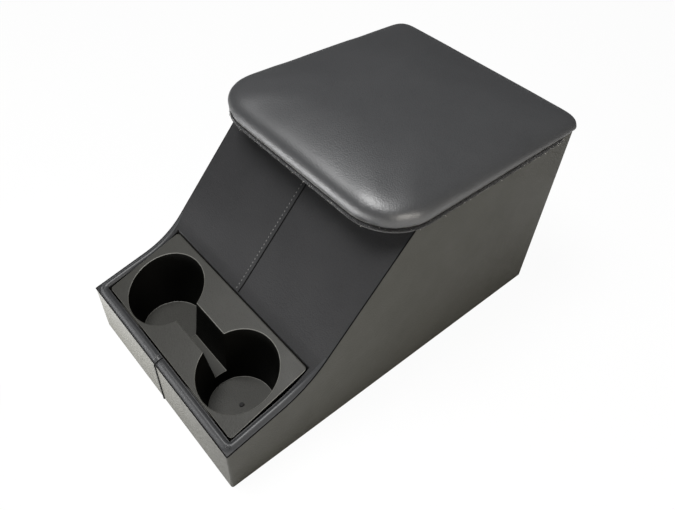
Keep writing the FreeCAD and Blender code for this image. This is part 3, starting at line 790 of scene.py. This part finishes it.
@dataclass
class RimRoll:
    """Soft filled roll of vinyl round the cup tray, fading out up both sides of the slope."""

    profile: Profile
    half_width: float
    width: float = 9.7 * MM
    height: float = 2.4 * MM
    sink: float = 0.2 * MM
    sheet: float = 0.8 * MM
    fade: tuple[float, float] = (70 * MM, 128 * MM)
    pinch: float = 2.2 * MM
    pinch_share: float = 0.5
    skew: float = 1.5
    across: int = 10
    step: float = 4 * MM
    face_step: float = 9 * MM
    face_steps: int = 12
    pleats: tuple[float, ...] = (18.0, 34.0, 52.0, 70.0)
    pleat_thick: float = 0.5 * MM
    pleat_points: int = 6
    pleat_start: float = 0.06
    pleat_stride: float = 0.11
    pleat_sink: float = 0.08 * MM

    def pleat(self, fan: float) -> list[Vector]:
        """Path of one gathered fold, fanned out from the tray's front right corner.

        Args:
            fan: Angle of the fold in degrees, 0 towards the side and 90 towards the front.

        Returns:
            Points on the roll from the tray outwards.
        """
        points = []
        for index in range(self.pleat_points):
            reach = self.width * (self.pleat_start + self.pleat_stride * index)
            side = self.half_width - self.width + reach * math.cos(math.radians(fan))
            along = self.width - reach * math.sin(math.radians(fan))
            part = min(self.half_width - side, along) / self.width
            lift = self.crest(part, side, along) - self.pleat_sink * index
            points.append(self.surface(side, along, lift))
        return points

    def surface(self, side: float, along: float, lift: float) -> Vector:
        """Point above the covered surface."""
        point, lean = self.profile.at(along)
        return point + Vector((side, -lift * math.sin(lean), lift * math.cos(lean)))

    def crest(self, part: float, side: float, along: float) -> float:
        """Height of the roll at a part of its width.

        Args:
            part: Place across the roll, 0 at its outer edge and 1 at the tray.
            side: Place across the box.
            along: Distance back from the front.

        Returns:
            The height above the plain surface.
        """
        share = self.faded(along)
        full = self.height * (1.0 - share * share * (3 - 2 * share))
        full *= 1.0 - self.pinch_share * math.exp(-(side / self.pinch) ** 2)
        return full * math.sin(math.pi * part ** self.skew) - self.sink

    def faded(self, along: float) -> float:
        """Share of the fade, from 0 to 1, at a distance back from the front."""
        low, high = self.fade
        return min(1.0, max(0.0, (along - low) / (high - low)))

    def spread(self, along: float) -> float:
        """Width of the roll at a distance back from the front, narrowing up the slope."""
        share = self.faded(along)
        return max(self.sheet, self.width * (1.0 - share * share))

    def stations(self) -> list[tuple[float, float, float, float]]:
        """Outer and inner places (side, along) of each section, from the left slope to the right."""
        half, width = self.half_width, self.width
        back = [width + self.step * index for index in range(int((self.fade[1] - width) / self.step) + 1)]
        middle = [0.0, self.pinch / 2, self.pinch, 2 * self.pinch]
        middle += [2 * self.pinch + self.face_step * (index + 1) for index in range(self.face_steps)]
        right = [(side, 0.0, side, width) for side in middle]
        right += [(half, 0.0, half - width, width)]
        right += [(half, along, half - self.spread(along), along) for along in back[1:]]
        left = [(-outer, first, -inner, second) for outer, first, inner, second in reversed(right[1:])]
        return left + right

    def build(self, paints: Paints) -> list[bpy.types.Object]:
        """Bend a flat grid round the rim, raise its middle and gather it at one corner.

        Args:
            paints: The scene's materials.

        Returns:
            The roll and its gathered folds.
        """
        stations = self.stations()
        last = len(stations) - 1
        bm = bmesh.new()
        bmesh.ops.create_grid(bm, x_segments=last, y_segments=self.across, size=1.0)
        for vert in bm.verts:
            outer, first, inner, second = stations[round((vert.co.x + 1) / 2 * last)]
            part = (vert.co.y + 1) / 2
            side, along = outer + (inner - outer) * part, first + (second - first) * part
            vert.co = self.surface(side, along, self.crest(part, side, along))
        bmesh.ops.recalc_face_normals(bm, faces=bm.faces)
        if sum(face.normal.z for face in bm.faces) < 0:
            bmesh.ops.reverse_faces(bm, faces=bm.faces)
        roll = piece_from(bm, "rim_roll", paints.get(RIM_VINYL))
        wall = roll.modifiers.new("thickness", "SOLIDIFY")
        wall.thickness = self.sheet
        wall.offset = -1.0
        bm = bmesh.new()
        for fan in self.pleats:
            sweep(bm, self.pleat(fan), self.pleat_thick)
        folds = piece_from(bm, "rim_pleats", paints.get(RIM_VINYL))
        for thing in (roll, folds):
            smooth = thing.modifiers.new("smooth", "SUBSURF")
            smooth.levels = smooth.render_levels = 1
            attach(thing, Body.BOX.value)
        return [roll, folds]


@dataclass
class Stitching:
    """Row of thread beside the centre seam, on the slope and over the front rim."""

    profile: Profile
    roll: RimRoll
    beside: float = -5.0 * MM
    pitch: float = 4.6 * MM
    length: float = 2.3 * MM
    thick: float = 0.55 * MM
    raised: float = 1.6
    slant: float = math.radians(6)
    span: tuple[float, float] = (107 * MM, 216 * MM)
    over_roll: tuple[float, ...] = (0.3, 0.55, 0.8)

    def stitch(self, bm: bmesh.types.BMesh, point: Vector, lean: float) -> None:
        """Lay one bead of thread on the surface."""
        made = bmesh.ops.create_uvsphere(bm, u_segments=6, v_segments=4, radius=0.5)
        shape = (Matrix.Translation(point) @ Matrix.Rotation(lean, 4, "X")
                 @ Matrix.Rotation(self.slant, 4, "Z")
                 @ Matrix.Diagonal((self.thick * 2, self.length, self.thick * self.raised, 1.0)))
        bmesh.ops.transform(bm, matrix=shape, verts=made["verts"])

    def build(self, paints: Paints) -> bpy.types.Object:
        """Lay one small bead of thread per stitch along the surface.

        Args:
            paints: The scene's materials.

        Returns:
            The stitches as one piece.
        """
        bm = bmesh.new()
        low, high = self.span
        along = low
        while along <= high:
            point, lean = self.profile.at(along)
            self.stitch(bm, point + Vector((self.beside, 0.0, 0.0)), lean)
            along += self.pitch * math.cos(lean)
        for part in self.over_roll:
            lift = self.roll.crest(part, self.beside, 0.0)
            point = self.roll.surface(self.beside, self.roll.width * part, lift)
            self.stitch(bm, point, self.profile.rim_angle)
        thing = piece_from(bm, "seam_stitches", paints.get(THREAD))
        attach(thing, Body.BOX.value)
        return thing


@dataclass
class SeamLines:
    """Sewn joins of the box's cover: tight near-black cords along its edges and down the middle, their
    darkness painted shade of the seams' valleys.
    """

    profile: Profile
    half_width: float
    roll: RimRoll
    thick: float = 0.7 * MM
    middle_thick: float = 1.0 * MM
    face_thick: float = 1.6 * MM
    middle_sink: float = 0.4 * MM
    inset: float = 0.45 * MM
    top: float = 217 * MM
    tray: float = 105 * MM
    step: float = 3 * MM
    over_parts: int = 10
    face_parts: int = 8

    def run(self, across: float, low: float, high: float, sink: float) -> list[Vector]:
        """Points along the covered surface at one place across the box."""
        count = max(2, int((high - low) / self.step))
        points = []
        for index in range(count + 1):
            point, lean = self.profile.at(low + (high - low) * index / count)
            points.append(point + Vector((across, sink * math.sin(lean), -sink * math.cos(lean))))
        return points

    def build(self, paints: Paints) -> bpy.types.Object:
        """Sweep a thin near-black cord, painted shade of the seam's valley, along each join.

        Args:
            paints: The scene's materials.

        Returns:
            All joins as one piece.
        """
        bm = bmesh.new()
        side = self.half_width - self.inset
        for across in (-side, side):
            sweep(bm, self.run(across, self.inset, self.top, self.inset), self.thick)
        front = self.profile.front + self.inset
        level = self.profile.rim_height - self.inset
        sweep(bm, [Vector((across, front, level)) for across in (-side, 0.0, side)], self.thick)
        count = self.over_parts
        over = [
            self.roll.surface(0.0, self.roll.width * part / count, self.roll.crest(part / count, 0.0, 0.0))
            for part in range(count + 1)]
        sweep(bm, over, self.thick)
        sweep(bm, self.run(0.0, self.tray, self.top, self.middle_sink), self.middle_thick)
        face = self.profile.front + self.middle_sink
        count = self.face_parts
        sweep(bm, [Vector((0.0, face, level * part / count)) for part in range(count + 1)], self.face_thick)
        thing = piece_from(bm, "seam_lines", paints.get(SEAM_PAINTED_SHADE))
        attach(thing, Body.BOX.value)
        return thing


@dataclass
class Lamp:
    """One soft area lamp that looks at the box."""

    name: str
    place: Vector
    size: tuple[float, float]
    power: float
    aim: Vector = field(default_factory=lambda: Vector((0.0, 0.0, 0.12)))
    tint: Colour = (1.0, 1.0, 1.0)

    def build(self) -> None:
        """Add the lamp to the scene."""
        data = bpy.data.lights.new(self.name, "AREA")
        data.shape = "RECTANGLE"
        data.size, data.size_y = self.size
        data.energy = self.power
        data.color = self.tint
        lamp = bpy.data.objects.new(self.name, data)
        lamp.visible_camera = False
        lamp.location = self.place
        lamp.rotation_euler = (self.aim - self.place).to_track_quat("-Z", "Y").to_euler()
        bpy.context.scene.collection.objects.link(lamp)


@dataclass
class Studio:
    """White floor, soft lamps and a camera at the photograph's angle."""

    camera_place: Vector = field(default_factory=lambda: Vector((381.0, -342.7, 619.3)) * MM)
    camera_aim: Vector = field(default_factory=lambda: Vector((-44.5, 56.7, 1.3)) * MM)
    camera_roll: float = math.radians(3.54)
    focal_pixels: float = 638.1
    picture_width: float = 675.0
    sensor: float = 36.0
    floor_half: float = 6.0
    floor_drop: float = 0.5 * MM
    floor_colour: Colour = (0.9, 0.9, 0.9)
    floor_glow: float = 0.95
    world_light: float = 0.08
    far: float = 50.0

    def build(self) -> None:
        """Add floor, world, lamps and camera."""
        self.build_floor()
        self.build_world()
        for lamp in (
            Lamp("key", Vector((-0.2, -0.4, 1.55)), (0.65, 0.65), 26.0),
            Lamp("side", Vector((1.2, -0.15, 0.5)), (0.5, 0.5), 8.0, tint=(1.0, 0.96, 0.9)),
            Lamp("front_bounce", Vector((-0.12, -0.36, 0.02)), (0.4, 0.04), 1.35, Vector((-0.03, 0.0, 0.04))),
        ):
            lamp.build()
        self.build_camera()

    def build_floor(self) -> None:
        """Lay a plain white floor that keeps a soft shadow."""
        bm = bmesh.new()
        bmesh.ops.create_grid(bm, x_segments=1, y_segments=1, size=self.floor_half)
        made = bpy.data.materials.new("pale_floor")
        made.use_nodes = True
        bmesh.ops.translate(bm, vec=(0.0, 0.0, -self.floor_drop), verts=bm.verts)
        floor = piece_from(bm, "floor", self.white_to_camera(made))

    def white_to_camera(self, made: bpy.types.Material) -> bpy.types.Material:
        """Mix a diffuse floor with plain white that only the camera sees."""
        tree = made.node_tree
        tree.nodes.clear()
        weave = Weave(tree)
        path = weave.add("LightPath").outputs
        share = weave.maths("MULTIPLY", path["Is Camera Ray"], self.floor_glow)
        mix = weave.add("MixShader")
        diffuse = weave.add("BsdfDiffuse", Color=(*self.floor_colour, 1.0))
        glow = weave.add("Emission", Strength=1.0)
        tree.links.new(share, mix.inputs[0])
        tree.links.new(diffuse.outputs[0], mix.inputs[1])
        tree.links.new(glow.outputs[0], mix.inputs[2])
        tree.links.new(mix.outputs[0], weave.add("OutputMaterial").inputs["Surface"])
        return made

    def build_world(self) -> None:
        """Make the surroundings white to the camera and dim as light."""
        world = bpy.data.worlds.new("studio")
        bpy.context.scene.world = world
        world.use_nodes = True
        weave = Weave(world.node_tree)
        back = world.node_tree.nodes["Background"]
        path = weave.add("LightPath").outputs
        strength = weave.add("MapRange", Value=path["Is Camera Ray"], To_Min=self.world_light, To_Max=1.0)
        world.node_tree.links.new(strength.outputs[0], back.inputs["Strength"])
        back.inputs["Color"].default_value = (1.0, 1.0, 1.0, 1.0)

    def build_camera(self) -> None:
        """Stand the camera where the photograph was taken."""
        data = bpy.data.cameras.new("camera")
        data.sensor_width = self.sensor
        data.lens = self.focal_pixels * self.sensor / self.picture_width
        data.clip_end = self.far
        camera = bpy.data.objects.new("camera", data)
        turn = (self.camera_aim - self.camera_place).to_track_quat("-Z", "Y")
        camera.rotation_mode = "QUATERNION"
        camera.rotation_quaternion = turn @ Quaternion((0, 0, 1), self.camera_roll)
        camera.location = self.camera_place
        bpy.context.scene.collection.objects.link(camera)
        bpy.context.scene.camera = camera


def main() -> None:
    """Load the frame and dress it."""
    logging.basicConfig(level=logging.INFO, format="%(message)s")
    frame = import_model()
    bpy.context.scene.view_settings.view_transform = "Standard"
    paints = Paints()
    Covers().dress(frame, paints)
    lid_low, lid_high = (Vector(corner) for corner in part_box("lid_cover"))
    liner_low, liner_high = (Vector(corner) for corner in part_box("lid_carpet"))
    pad_low = lid_low + UP * PAD_LIFT
    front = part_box("right_top_cover")[0][1]
    half_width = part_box("right_band_cover")[1][0]
    profile = Profile(front)
    roll = RimRoll(profile, half_width)
    hem_line = Outline(lid_low, lid_high, *HEM_CORNERS)
    felt_line = Outline(liner_low, liner_high, *FELT_CORNERS)
    pieces = [
        LidPad(pad_low, lid_high).build(paints),
        LidHem(hem_line, pad_low.z + HEM_LIFT).build(paints),
        Stitching(profile, roll).build(paints),
        SeamLines(profile, half_width, roll).build(paints),
        *roll.build(paints),
        *CarpetFringe(felt_line, liner_high.z + FELT_LIFT).build(paints),
    ]
    for piece in pieces:
        LOG.info("%s: %d faces", piece.name, len(piece.data.polygons))
    Studio().build()


if __name__ == "__main__":
    main()
